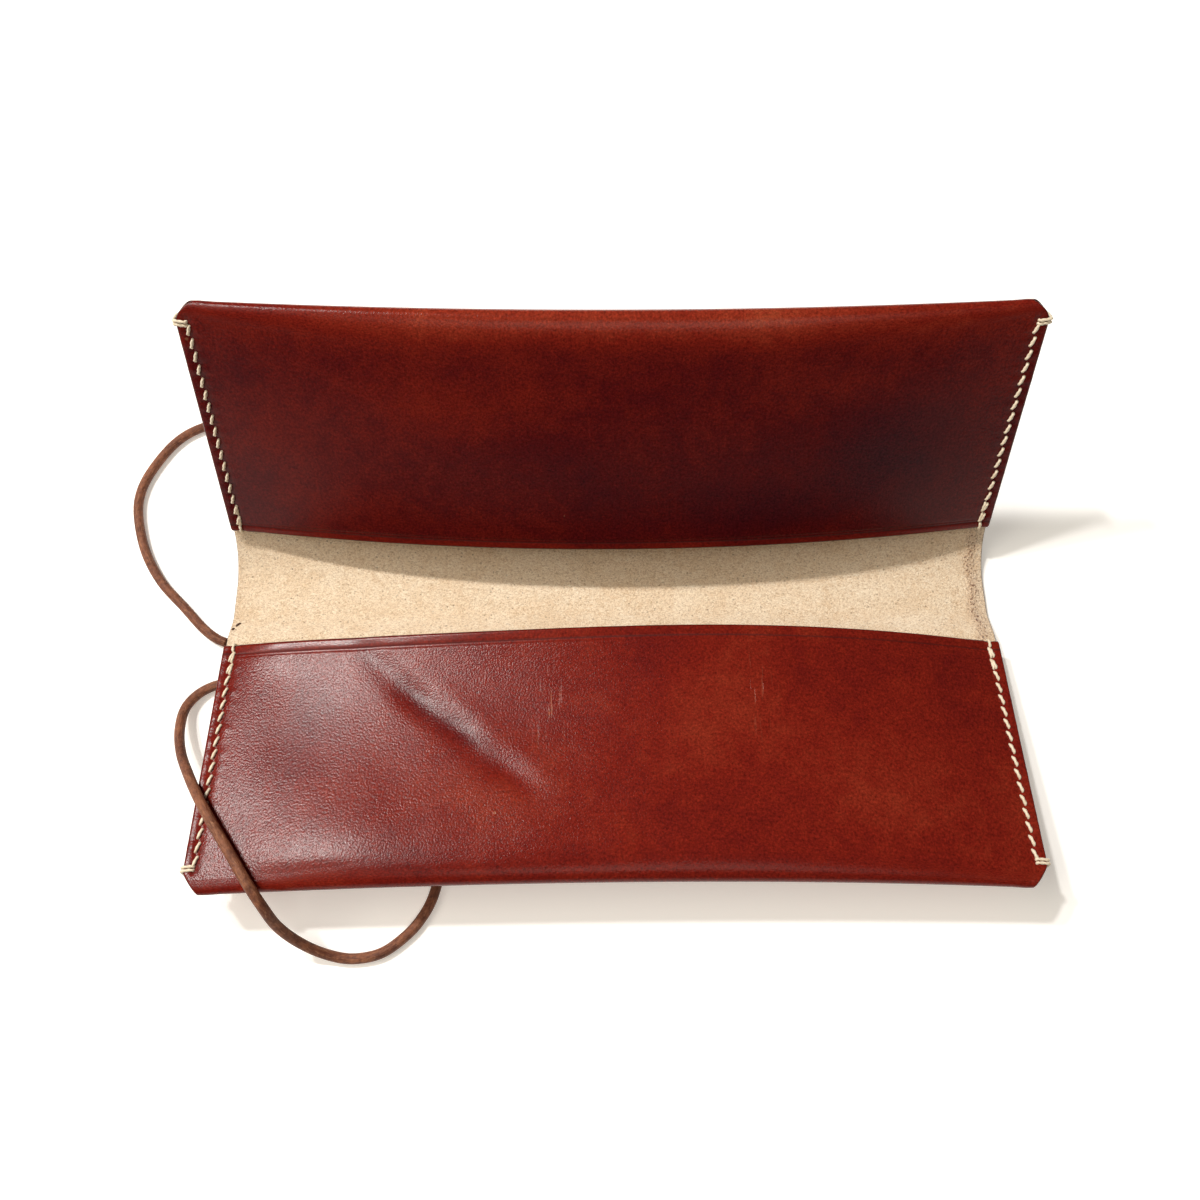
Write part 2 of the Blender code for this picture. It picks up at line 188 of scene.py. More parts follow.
def holePlaces(half):
    first = half["mouth"] + seam["fromMouth"]
    last = half["mouth"] + hide["pocketDepth"] - half["seamEnd"]
    pitch = (last - first) / seam["stitches"]
    return [first + pitch * i for i in range(seam["stitches"] + 1)]


def inRow(half, x, u, h):
    # a point of a half's own frame, in the case's frame
    across = half["axis"][0] + u * math.cos(half["slope"]) - h * math.sin(half["slope"])
    up = half["axis"][1] + u * math.sin(half["slope"]) + h * math.cos(half["slope"])
    return Vector((x, half["side"] * across, up))


def foldPlace(half):
    # the furthest u of the hide's mid-line
    return half["mouth"] + hide["pocketDepth"] - halfHide


def bulgeShare(half, x):
    # 0 at the seams, 1 where the pocket stands open most
    shifted = (x - half["bulgeShift"] * (1 - (x / bandX) ** 2)) / bandX
    return max(0.0, 1 - shifted**2)


hideMesh = {
    "middleStep": 0.0023,
    "seamStep": 0.00052,
    "seamZone": 0.0105,
    "rimSteps": (0, 0.00006, 0.00020, 0.00042, 0.00075, 0.00115),
    "wallRows": 62,
    "underRows": 5,
    "shoulderRows": 10,
    "runRows": 66,
    # near the mouth, as shares of the pressed line's distance from it
    "mouthRows": (
        *(2.5, 2.1, 1.8, 1.6, 1.46, 1.38, 1.31, 1.25, 1.19, 1.125, 1.06, 1.0),
        *(0.94, 0.875, 0.79, 0.625, 0.46, 0.31, 0.175, 0.083, 0.025, 0),
    ),
}

# The moulded ridge across the front panel: its bright flank's line in (x, u), with a valley on the
# fold's side of it and a crest on the mouth's side
ridge = {
    "start": (-0.0721, 0.0047),
    "end": (-0.0223, 0.0478),
    "bow": 0.0006,
    "valley": (0.0026, 0.0040, -0.00036),  # offset, width, height
    "crest": (-0.0024, 0.0034, 0.00010),
    "lumps": 0.9,  # how uneven its height is along its length
    "dyeAndShade": -0.26,  # painted shade: the tone is darker in the valley
}

# Soft swells and hollows of the front panel, as patches: x, u, width across, width along, height
frontSwells = (
    (-0.032, 0.020, 0.065, 0.0360, -0.00390),
    (-0.106, 0.001, 0.024, 0.0100, 0.00105),
    (-0.076, 0.067, 0.026, 0.0155, 0.00102),
    (-0.106, 0.047, 0.024, 0.0095, 0.00023),
)


def bendRows(half):
    # the part of the profile that is the same all along the width, as (across, up)
    point = Vector((0, halfHide))
    heading = 0
    rows = [point.copy()]
    for size, angle, steps in half["bend"]:
        for _ in range(steps):
            if angle:
                step = math.copysign(angle, size) / steps
                chord = 2 * abs(size) * math.sin(abs(step) / 2)
                middle = heading + step / 2
                heading += step
            else:
                chord = size / steps
                middle = heading
            point = point + chord * Vector((math.cos(middle), math.sin(middle)))
            rows.append(point)
    return rows


def pocketRows(half, x, start):
    # the wall, the fold and the panel at x, as (u, h, layer, distance from the mouth)
    share = bulgeShare(half, x)
    fullness = share ** half["shoulderPower"]
    radius = (hide["layerPitch"] + hide["foldGap"] * share) / 2
    outside = foldPlace(half) - hide["foldDrawIn"] * share
    under = 1.15 * radius  # the fold is a little flatter on its wall's side
    shoulder = hide["shoulderAtSeam"] + (hide["shoulderInMiddle"] - hide["shoulderAtSeam"]) * fullness
    mouthHeight = hide["layerPitch"] + half["mouthGap"] * share
    reach = outside - half["mouth"]

    def top(distance):
        rolled = math.sqrt(max(0, 1 - (1 - min(distance / shoulder, 1)) ** 3))
        run = distance / reach
        swell = half["crown"] * share * math.sin(math.pi * run)
        return radius + radius * rolled + (mouthHeight - 2 * radius) * run + swell

    rows = []
    for i in range(1, hideMesh["wallRows"] + 1):
        u = start + (outside - under - start) * i / hideMesh["wallRows"]
        rows.append((u, 0, "wall", u - half["mouth"]))
    for i in range(1, hideMesh["underRows"] + 1):
        angle = math.pi / 2 * i / hideMesh["underRows"]
        u = outside - under + under * math.sin(angle)
        rows.append((u, radius * (1 - math.cos(angle)), "fold", u - half["mouth"]))
    for i in range(1, hideMesh["shoulderRows"] + 1):
        angle = math.pi / 2 * i / hideMesh["shoulderRows"]
        distance = shoulder * (1 - math.cos(angle))
        rows.append((outside - distance, top(distance), "fold", reach - distance))
    runStart = outside - shoulder
    nearMouth = [half["crease"] * share for share in hideMesh["mouthRows"]]
    runEnd = half["mouth"] + nearMouth[0]
    for i in range(1, hideMesh["runRows"]):
        u = runStart + (runEnd - runStart) * i / hideMesh["runRows"]
        rows.append((u, top(outside - u), "panel", u - half["mouth"]))
    for distance in nearMouth:
        rows.append((half["mouth"] + distance, top(reach - distance), "panel", distance))
    return rows


def sideEdge(half, u, layer):
    # half the width at u: cut off at the folded corners, rounded at the mouth
    cutAcross, cutDeep = half["corner"]
    cut = min(max(1 - (foldPlace(half) - u) / cutDeep, 0), 1)
    rounded = 1 - math.sqrt(1 - cut**2)
    edge = halfWidth - cutAcross * (cut + half["cornerRound"] * (rounded - cut))
    if layer == "panel":
        near = min(max(1 - (u - half["mouth"]) / hide["mouthCorner"], 0), 1)
        edge -= hide["mouthCorner"] * (1 - math.sqrt(1 - near**2))
    return edge


def squeezed(x, edge):
    # the outer columns follow the edge
    zone = halfWidth - hideMesh["seamZone"]
    if abs(x) <= zone:
        return x
    return math.copysign(zone + (abs(x) - zone) * (edge - zone) / (halfWidth - zone), x)


def seamRelief(half, x, u):
    # the thread draws the leather down, and it puckers between the holes
    holes = holePlaces(half)
    off = abs(x) - seamX
    if abs(off) > seamShape["reach"]:
        return 0
    pitch = holes[1] - holes[0]
    phase = 2 * math.pi * (u - holes[0]) / pitch
    hole = (0.5 + 0.5 * math.cos(phase)) ** 3
    between = 0.5 - 0.5 * math.cos(phase)
    near, far = seamShape["ends"]
    row = smoothStep(holes[0] - far, holes[0] - near, u)
    row *= 1 - smoothStep(holes[-1] + near, holes[-1] + far, u)
    drawn = ribHeight(off, seamShape["channel"]) + hole * ribHeight(off, seamShape["hole"])
    uneven = 0.5 + noise.noise(Vector((x * 300, u * 240, 7.0)))
    puckered = ribHeight(off, seamShape["outerPucker"]) + ribHeight(off, seamShape["innerPucker"])
    return row * (drawn + uneven * between * puckered)


def ridgeRelief(x, u):
    start, end = Vector(ridge["start"]), Vector(ridge["end"])
    along = (end - start).normalized()
    reach = Vector((x, u)) - start
    share = reach.dot(along) / (end - start).length
    off = reach.y * along.x - reach.x * along.y
    inside = min(max(share, 0), 1)
    off -= ridge["bow"] * math.sin(math.pi * inside) * (1 - inside)
    fade = smoothStep(-0.30, 0.30, share) * (1 - smoothStep(0.75, 1.25, share))
    fade *= 1 + ridge["lumps"] * noise.noise(Vector((share * 5.5, off * 90, 2.4)))
    return fade * (ribHeight(off, ridge["valley"]) + ribHeight(off, ridge["crest"]))


def patchSum(patches, x, u):
    return sum(amount * bell(x - cx, wx) * bell(u - cu, wu) for cx, cu, wx, wu, amount in patches)


def creaseShare(half, fromMouth):
    # the two lines that are pressed in beside the mouth
    return sum(ribHeight(fromMouth - half["crease"], line) for line in hide["creases"])


def panelRelief(half, x, u, fromMouth):
    share = bulgeShare(half, x)
    seed = half["waveSeed"]
    wave = noise.noise(Vector((x * 26, u * 30, seed))) * half["wave"]
    wave += noise.noise(Vector((x * 75, u * 80, seed + 4))) * hide["fineWave"]
    relief = wave * min(1, share * 3) * smoothStep(0, 0.012, fromMouth)
    if half["name"] == "front":
        relief += ridgeRelief(x, u) + patchSum(frontSwells, x, u) * min(1, share * 4)
    inside = 1 - smoothStep(seamX - 0.0012, seamX + 0.0004, abs(x))
    lip = hide["lipRise"] * max(0, 1 - fromMouth / half["crease"])
    relief += inside * (lip - hide["creaseDepth"] * creaseShare(half, fromMouth))
    return relief * smoothStep(0.0003, 0.0080, foldPlace(half) - u)  # it dies away over the fold


# Patches of tone on the hand-dyed leather: x, u, width across, width along, amount (above 0 is warmer and
# lighter, below 0 darker and cooler). Most are uneven dye; the marked ones are painted light and shade
dyeAndLightPatches = {
    "front": (
        (0.034, 0.030, 0.024, 0.014, 0.15),
        (0.078, 0.052, 0.020, 0.016, 0.11),
        (-0.036, 0.050, 0.022, 0.012, 0.26),
        (0.062, 0.018, 0.014, 0.010, -0.15),
        (0.010, 0.012, 0.018, 0.008, -0.12),
        (0.096, 0.012, 0.014, 0.010, -0.14),
        (0.016, 0.052, 0.016, 0.012, -0.08),
        (0.074, 0.066, 0.026, 0.006, -0.06),
        (-0.094, 0.030, 0.018, 0.026, -0.12),
        # painted shade: the band where the rolled fold turns away from the light
        (-0.020, 0.070, 0.090, 0.005, -0.12),
    ),
    "rear": (
        # painted light: the band along the top of the rear fold, lit from above
        (-0.040, 0.080, 0.070, 0.007, 0.62),
        (0.060, 0.080, 0.060, 0.007, 0.62),
        (-0.044, 0.056, 0.022, 0.010, 0.32),
        (0.066, 0.062, 0.024, 0.008, 0.25),
        (0.078, 0.040, 0.024, 0.018, -0.58),
        (0.040, 0.022, 0.022, 0.010, -0.42),
        # painted sheen on the rear panel's upper left
        (-0.086, 0.046, 0.020, 0.018, 0.06),
        (-0.010, 0.036, 0.022, 0.014, -0.20),
        (-0.070, 0.022, 0.026, 0.008, 0.10),
        # painted highlight: the lit band along the rear mouth
        (0.0, 0.0110, 0.300, 0.0012, 0.30),
    ),
}

# Scratched patches of the front panel, in the same order
scuffs = (
    (-0.0187, 0.026, 0.0035, 0.010, 1),
    (0.0400, 0.024, 0.0030, 0.009, 0.6),
)

# Dye that has run onto the flesh side near the right end of the spine
stain = {
    "fromEdge": 0.0040,
    "width": 0.0017,
    "wander": (0.0005, 420),  # how far, and how quickly along the edge
    "border": 0.35,  # a paler stain from the edge inwards
    "bordered": (0.007, 0.003),  # it fades out between these distances from the edge
    "rearEnd": (0.018, 0.028),  # and between these distances from the spine's middle
    "frontEnd": (-0.027, -0.018),
    "leftEnd": (0.30, 0.0018),  # a trace at the left edge: amount, width
}


def toneAt(half, x, u, layer):
    if layer == "wall":
        return half["baseTone"]
    # uneven dye, with painted light and shade from the marked patches
    tone = half["baseTone"] + patchSum(dyeAndLightPatches[half["name"]], x, u)
    if half["name"] == "front":
        # painted shade along the ridge's valley
        tone += ridge["dyeAndShade"] * max(0, ridgeRelief(x, u) / ridge["valley"][2])
    return tone


def stainAt(x, along):
    fromEdge = halfWidth - x
    far, quickly = stain["wander"]
    wander = far * math.sin(along * quickly)
    line = bell(fromEdge - stain["fromEdge"] + wander, stain["width"])
    patch = smoothStep(*stain["frontEnd"], along) * (1 - smoothStep(*stain["rearEnd"], along))
    amount, width = stain["leftEnd"]
    border = stain["border"] * smoothStep(*stain["bordered"], fromEdge)
    return (line + border) * patch + amount * bell(halfWidth + x, width)


def columnPlaces():
    zone = hideMesh["seamZone"]
    near = list(hideMesh["rimSteps"])
    steps = round((zone - near[-1]) / hideMesh["seamStep"])
    outer = near + [near[-1] + (zone - near[-1]) * i / steps for i in range(1, steps + 1)]
    right = [halfWidth - distance for distance in reversed(outer)]
    middle = math.ceil(2 * right[0] / hideMesh["middleStep"])
    inner = [-right[0] + 2 * right[0] * i / middle for i in range(1, middle)]
    return [-x for x in reversed(right)] + inner + right


def profileAt(half, x):
    # every row at x: (place, distance along the hide, layer, u, from the mouth, from the rim)
    fixed = bendRows(half)
    bent = fixed[-1] - Vector(half["axis"])
    start = bent.x * math.cos(half["slope"]) + bent.y * math.sin(half["slope"])
    rows = []
    along = 0
    previous = fixed[0]
    for point in fixed:
        along += (point - previous).length
        previous = point
        place = Vector((x, half["side"] * point.x, point.y))
        rows.append((place, along, "spine", 0, 0, halfWidth - abs(x)))
    previous = rows[-1][0]
    for u, h, layer, fromMouth in pocketRows(half, x, start):
        height = h + half["wallHeight"]
        flat = inRow(half, x, u, height)
        along += (flat - previous).length
        previous = flat
        edge = sideEdge(half, u, layer)
        across = squeezed(x, edge)
        relief = seamRelief(half, across, u)
        if layer == "wall":
            height -= relief * hide["underShare"]
        else:
            height += relief + panelRelief(half, across, u, fromMouth)
        fromRim = edge - abs(across)
        if layer == "panel":
            fromRim = min(fromRim, fromMouth)
        rows.append((inRow(half, across, u, height), along, layer, u, fromMouth, fromRim))
    return rows


def hideSheet(half):
    columns = columnPlaces()
    profiles = [profileAt(half, x) for x in columns]
    acrossCount = len(columns) - 1
    alongCount = len(profiles[0]) - 1
    flatAlong = [row[1] for row in profiles[len(columns) // 2]]
    bm = bmesh.new()
    kinds = ("across", "along", "tone", "stain", "scuff", "pressed", "rim", "grainTrim", "fleshTrim")
    layers = {name: bm.verts.layers.float.new(name) for name in kinds}
    bmesh.ops.create_grid(bm, x_segments=acrossCount, y_segments=alongCount, size=0.5)
    for vertex in bm.verts:
        column = round((vertex.co.x + 0.5) * acrossCount)
        row = round((vertex.co.y + 0.5) * alongCount)
        place, _, layer, u, fromMouth, fromRim = profiles[column][row]
        vertex.co = place
        vertex[layers["across"]] = place.x
        vertex[layers["along"]] = half["side"] * flatAlong[row]
        vertex[layers["tone"]] = toneAt(half, place.x, u, layer)
        vertex[layers["stain"]] = stainAt(place.x, half["side"] * flatAlong[row])
        # a free edge is rounded on both faces, a sewn one only on its outer faces
        near = 1 - min(fromRim / hide["edgeRound"], 1)
        trim = hide["edgeRound"] * (1 - math.sqrt(1 - near**2))
        paired = 0 if layer == "spine" else smoothStep(-0.0005, 0.0012, fromMouth)
        vertex[layers["grainTrim"]] = trim
        vertex[layers["fleshTrim"]] = trim * (1 - paired)
        vertex[layers["rim"]] = 1 - smoothStep(*hide["edgeDye"], fromRim)
        if layer == "panel" and fromMouth < half["crease"] + hide["creaseReach"]:
            band = 1 - smoothStep(0.0002, 0.0012, fromMouth - half["crease"])
            vertex[layers["pressed"]] = 0.35 * band + 0.6 * creaseShare(half, fromMouth)
        if layer == "panel" and half["name"] == "front":
            vertex[layers["scuff"]] = patchSum(scuffs, place.x, u)
    bm.normal_update()
    lowest = min(bm.faces, key=lambda face: face.calc_center_median().z)
    if lowest.normal.z > 0:
        bmesh.ops.reverse_faces(bm, faces=bm.faces)
    mesh = bpy.data.meshes.new(half["name"] + "HideSheet")
    bm.to_mesh(mesh)
    bm.free()
    return mesh


def placed(name, data):
    thing = bpy.data.objects.new(name, data)
    bpy.context.scene.collection.objects.link(thing)
    return thing


def thickHide(half, materials):
    # the sheet gets its thickness, and its rims are rounded
    sheet = placed("sheet", hideSheet(half))
    shell = sheet.modifiers.new("thickness", "SOLIDIFY")
    shell.thickness = hide["thickness"]
    shell.offset = 0
    shell.use_even_offset = True
    shell.use_quality_normals = True
    shell.material_offset = 1
    shell.material_offset_rim = 2
    for material in materials:
        sheet.data.materials.append(material)
    bpy.context.view_layer.update()
    evaluated = sheet.evaluated_get(bpy.context.evaluated_depsgraph_get())
    solid = bpy.data.meshes.new_from_object(evaluated)
    bpy.data.objects.remove(sheet, do_unlink=True)

    bm = bmesh.new()
    bm.from_mesh(solid)
    across = bm.verts.layers.float["across"]
    along = bm.verts.layers.float["along"]
    trims = [bm.verts.layers.float[name] for name in ("grainTrim", "fleshTrim")]
    flatMap = bm.loops.layers.uv.new("flatHide")
    moves = []
    for vertex in bm.verts:
        side = min(face.material_index for face in vertex.link_faces)
        faces = [face for face in vertex.link_faces if face.material_index == side]
        outwards = sum((face.normal for face in faces), Vector())
        moves.append((vertex, -vertex[trims[side]] * outwards.normalized()))
    for vertex, move in moves:
        vertex.co += move
    for face in bm.faces:
        face.smooth = True
        for loop in face.loops:
            loop[flatMap].uv = (loop.vert[across], loop.vert[along])
    bm.to_mesh(solid)
    bm.free()
    solid.name = half["name"] + "Hide"
    solid.set_sharp_from_angle(angle=math.radians(60))
    return solid


def lengthsAlong(points):
    lengths = [0.0]
    for a, b in zip(points, points[1:]):
        lengths.append(lengths[-1] + (b - a).length)
    return lengths


def sweptTube(bm, points, radii, sides, lobes=0, lobeDepth=0.0, turns=0.0):
    # a round or twisted tube along points, closed at both ends
    count = len(points) - 1
    neighbours = zip(points[:1] + points[:-1], points[1:] + points[-1:])
    tangents = [(ahead - behind).normalized() for behind, ahead in neighbours]
    normal = tangents[0].orthogonal().normalized()
    frames = []
    for tangent in tangents:
        normal = (normal - tangent * normal.dot(tangent)).normalized()
        frames.append((normal, tangent.cross(normal)))
    lengths = lengthsAlong(points)
    flatMap = bm.loops.layers.uv.get("aroundAlong") or bm.loops.layers.uv.new("aroundAlong")
    grid = bmesh.ops.create_grid(bm, x_segments=sides, y_segments=count, size=0.5)
    verts = grid["verts"]
    faces = {face for vertex in verts for face in vertex.link_faces}
    for face in faces:
        face.smooth = True
        for loop in face.loops:
            share = loop.vert.co.x + 0.5
            row = round((loop.vert.co.y + 0.5) * count)
            loop[flatMap].uv = (share, lengths[row])
    for vertex in verts:
        share = round((vertex.co.x + 0.5) * sides) / sides
        row = round((vertex.co.y + 0.5) * count)
        angle = 2 * math.pi * share
        twist = 2 * math.pi * turns * lengths[row] / lengths[-1]
        radius = radii[row] * (1 + lobeDepth * math.cos(lobes * (angle - twist)))
        sideways, upwards = frames[row]
        offset = radius * (math.cos(angle) * sideways + math.sin(angle) * upwards)
        vertex.co = points[row] + offset
    bmesh.ops.remove_doubles(bm, verts=verts, dist=1e-7)


def roundedRadii(points, radius, cap):
    # full radius, drawn in to nothing over the cap's length at both ends
    lengths = lengthsAlong(points)
    shares = [min(length, lengths[-1] - length, cap) / cap for length in lengths]
    return [radius * math.sqrt(max(0, 1 - (1 - share) ** 2)) for share in shares]


def finishedMesh(name, bm, material):
    bmesh.ops.recalc_face_normals(bm, faces=bm.faces)
    mesh = bpy.data.meshes.new(name)
    bm.to_mesh(mesh)
    bm.free()
    mesh.materials.append(material)
    return mesh


def smoothLine(places, samples):
    # a smooth curve through the places
    points = [Vector(place) for place in places]
    ends = [2 * points[0] - points[1]] + points + [2 * points[-1] - points[-2]]
    smooth = []
    for before, start, end, after in zip(ends, ends[1:], ends[2:], ends[3:]):
        for i in range(samples):
            t = i / samples
            straightPart = 2 * start + (end - before) * t
            bentPart = (2 * before - 5 * start + 4 * end - after) * t**2
            lastPart = (3 * start - before - 3 * end + after) * t**3
            smooth.append(0.5 * (straightPart + bentPart + lastPart))
    smooth.append(points[-1])
    return smooth


twoPly = {
    "radius": 0.00040,
    "sides": 10,
    "samples": 4,  # from one place to the next
    "groove": 0.17,  # depth between the plies, as a share of the radius
    "turn": 0.0030,  # length of one turn
}


def strand(bm, places, radius=twoPly["radius"], slender=0.0):
    # one strand of two-ply thread through the places; slender draws its ends in
    points = smoothLine(places, twoPly["samples"])
    length = lengthsAlong(points)[-1]
    radii = roundedRadii(points, radius, radius * 1.2)
    last = len(points) - 1
    radii = [r * (1 - slender * abs(2 * i / last - 1) ** 2) for i, r in enumerate(radii)]
    sweptTube(bm, points, radii, twoPly["sides"], 2, twoPly["groove"], length / twoPly["turn"])


def sewnSeam(half, xSide, material):
    x = xSide * seamX
    holes = holePlaces(half)
    pitch = holes[1] - holes[0]
    wall = half["wallHeight"]
    topSkin = wall + hide["layerPitch"] + halfHide - seam["sunk"][0]
    underSkin = wall - halfHide + seam["sunk"][1]
    bm = bmesh.new()

    def stitch(first, last, skin, out, lean, shift, raised):
        middle = (first + last) / 2
        reach = (last - first) / 2
        places = []
        rising = ((-1.06, -seam["plunge"]), (-0.94, seam["skin"]), (-0.55, seam["lift"]))
        for share, height in (*rising, *((-share, height) for share, height in reversed(rising))):
            lateral = lean * share + shift
            level = skin + out * (height + raised)
            places.append(inRow(half, x + lateral, middle + reach * share, level))
        strand(bm, places, radius=seam["threadRadius"], slender=seam["slender"])

    def bothFaces(i, inset, lean, shift=0.0, raised=0.0):
        first, last = holes[i] + inset, holes[i + 1] - inset
        stitch(first, last, topSkin, 1, lean, shift, raised)
        stitch(first, last, underSkin, -1, -lean, shift, raised)

    lean = half["slant"][xSide]
    inset = pitch * (1 - seam["visible"]) / 2
    for i in range(seam["stitches"]):
        bothFaces(i, inset, lean)
    doubled = seam["doubled"]
    closer = doubled["closer"]
    for i in range(doubled["stitches"]):  # the thread goes back a few holes at the mouth
        bothFaces(i, inset * closer, lean * closer, -xSide * doubled["aside"], -doubled["sunk"])

    # over the mouth's edge, down to the flesh side of the wall
    first = holes[0]
    lip = half["mouth"]
    inside = wall + halfHide
    overMouth = (
        (first, topSkin - 0.0006),
        (first - 0.0003, topSkin + seam["lift"]),
        (first - 0.0011, topSkin + seam["lift"] + 0.00008),
        (lip - 0.0001, topSkin + 0.00012),
        (lip - 0.00062, topSkin - 0.0009),
        (lip - 0.00080, inside + 0.0002),
        (lip - 0.00070, inside - 0.0006),
    )
    strand(bm, [inRow(half, x - xSide * 0.0001, u, h) for u, h in overMouth])

    # two turns round the side's edge at the last hole
    pastEdge, above = seam["barClear"]
    edge = halfWidth + pastEdge
    top = wall + hide["layerPitch"] + halfHide + above
    under = wall - halfHide - above
    for shift in (-seam["barSpread"], seam["barSpread"]):
        loop = (
            (seamX - 0.0001, top - 0.0008),
            (seamX + 0.0003, top - 0.00012),
            (seamX + 0.0013, top),
            (halfWidth - 0.0004, top - 0.00005),
            (edge - 0.00002, top - 0.00042),
            (edge + 0.00010, (top + under) / 2),
            (edge - 0.00002, under + 0.00042),
            (halfWidth - 0.0004, under + 0.00005),
            (seamX + 0.0013, under),
            (seamX + 0.0003, under + 0.00012),
            (seamX - 0.0001, under + 0.0008),
        )
        places = []
        for a, h in loop:
            leaning = half["barLean"] * smoothStep(seamX, halfWidth, a)
            places.append(inRow(half, xSide * a, holes[-1] + shift + leaning, h))
        strand(bm, places)
    side = "Left" if xSide < 0 else "Right"
    return placed(half["name"] + "SeamThread" + side, finishedMesh("seamThread", bm, material))


def setSockets(tree, node, values):
    for key, value in values.items():
        if isinstance(value, bpy.types.NodeSocket):
            tree.links.new(value, node.inputs[key])
        else:
            node.inputs[key].default_value = value


def addNode(tree, kind, values, **settings):
    node = tree.nodes.new(kind)
    for key, value in settings.items():
        setattr(node, key, value)
    setSockets(tree, node, values)
    return node


def number(tree, operation, first, second):
    return addNode(tree, "ShaderNodeMath", {0: first, 1: second}, operation=operation).outputs[0]


def times(tree, first, second):
    return number(tree, "MULTIPLY", first, second)


def added(tree, first, second, share):
    return number(tree, "ADD", first, times(tree, second, share))


def ranged(tree, value, fromLow, fromHigh, toLow=0.0, toHigh=1.0):
    values = {"Value": value, "From Min": fromLow, "From Max": fromHigh, "To Min": toLow, "To Max": toHigh}
    return addNode(tree, "ShaderNodeMapRange", values).outputs[0]


def mixed(tree, share, first, second, blend="MIX"):
    values = {0: share, 6: first, 7: second}
    return addNode(tree, "ShaderNodeMix", values, data_type="RGBA", blend_type=blend).outputs[2]


def tinted(tree, color, mask, tint):
    # a tint is a colour and how strongly it covers where the mask is 1
    tone, amount = tint
    return mixed(tree, times(tree, mask, amount), color, tone)


def stretched(tree, vector, scale):
    return addNode(tree, "ShaderNodeMapping", {"Vector": vector, "Scale": scale}).outputs[0]


def noisy(tree, vector, scale, detail=2.0, roughness=0.5, distortion=0.0):
    values = {"Vector": vector, "Scale": scale, "Detail": detail}
    values |= {"Roughness": roughness, "Distortion": distortion}
    return addNode(tree, "ShaderNodeTexNoise", values).outputs["Fac"]


def cells(tree, vector, scale, feature="F1"):
    values = {"Vector": vector, "Scale": scale}
    if feature == "SMOOTH_F1":
        values["Smoothness"] = 0.35
    return addNode(tree, "ShaderNodeTexVoronoi", values, feature=feature).outputs["Distance"]


def ramp(tree, value, stops):
    node = addNode(tree, "ShaderNodeValToRGB", {"Fac": value})
    elements = node.color_ramp.elements
    while len(elements) < len(stops):
        elements.new(0.5)
    for element, (position, color) in zip(elements, stops):
        element.position = position
        element.color = (*color, 1)
    return node.outputs["Color"]


def newGroup(name, measure, results):
    # a pattern that takes a place and one number, and gives numbers
    group = bpy.data.node_groups.new(name, "ShaderNodeTree")
    group.interface.new_socket(name="Vector", in_out="INPUT", socket_type="NodeSocketVector")
    group.interface.new_socket(name=measure, in_out="INPUT", socket_type="NodeSocketFloat")
    for result in results:
        group.interface.new_socket(name=result, in_out="OUTPUT", socket_type="NodeSocketFloat")
    start = group.nodes.new("NodeGroupInput").outputs
    return group, start["Vector"], start[measure], group.nodes.new("NodeGroupOutput")


def useGroup(tree, group, values):
    return addNode(tree, "ShaderNodeGroup", values, node_tree=group)


def poresGroup():
    # the fine pebbles and pores of a grain side
    group, vector, scale, end = newGroup("leatherPores", "Pebbles", ("Height", "Pores"))
    warp = addNode(group, "ShaderNodeTexNoise", {"Vector": vector, "Scale": 700.0, "Detail": 1.0})
    lessened = {0: warp.outputs["Color"], 3: 0.0003}
    push = addNode(group, "ShaderNodeVectorMath", lessened, operation="SCALE").outputs[0]
    bent = addNode(group, "ShaderNodeVectorMath", {0: vector, 1: push}, operation="ADD").outputs[0]
    pebble = cells(group, bent, scale, "SMOOTH_F1")
    soft = noisy(group, vector, scale)
    fine = noisy(group, vector, times(group, scale, 2.3), 3.0, 0.6)
    broad = noisy(group, vector, times(group, scale, 0.22), 3.0, 0.55)
    height = added(group, soft, pebble, -0.30)
    height = added(group, height, fine, 0.20)
    height = added(group, height, broad, 0.22)
    setSockets(group, end, {"Height": height, "Pores": ranged(group, fine, 0.60, 0.74)})
    return group


def cloudsGroup():
    # uneven dye, more or less than 0: broad clouds, smaller mottling and a fine speckle
    group, vector, spread, end = newGroup("dyeClouds", "Spread", ("Tone",))
    broad = noisy(group, vector, spread, 4.0, 0.62, 0.6)
    small = noisy(group, vector, times(group, spread, 6.0), 4.0, 0.6, 0.3)
    speck = noisy(group, vector, times(group, spread, 60.0), 2.0, 0.6)
    tone = ranged(group, broad, 0.30, 0.70, -1.0, 1.0)
    tone = added(group, tone, ranged(group, small, 0.30, 0.70, -1.0, 1.0), 0.75)
    tone = added(group, tone, ranged(group, speck, 0.30, 0.70, -1.0, 1.0), 0.55)
    setSockets(group, end, {"Tone": tone})
    return group


def newMaterial(name):
    material = bpy.data.materials.new(name)
    material.use_nodes = True
    return material, material.node_tree


def shade(tree, values):
    setSockets(tree, tree.nodes["Principled BSDF"], values)


def bumped(tree, height, relief):
    strength, depth = relief
    values = {"Height": height, "Strength": strength, "Distance": depth}
    return addNode(tree, "ShaderNodeBump", values).outputs[0]


def cloudy(tree, clouds, vector, spread):
    return useGroup(tree, clouds, {"Vector": vector, "Spread": spread}).outputs["Tone"]


def attribute(tree, name):
    return addNode(tree, "ShaderNodeAttribute", {}, attribute_name=name).outputs["Fac"]


def uvOf(tree, name):
    return addNode(tree, "ShaderNodeUVMap", {}, uv_map=name).outputs[0]


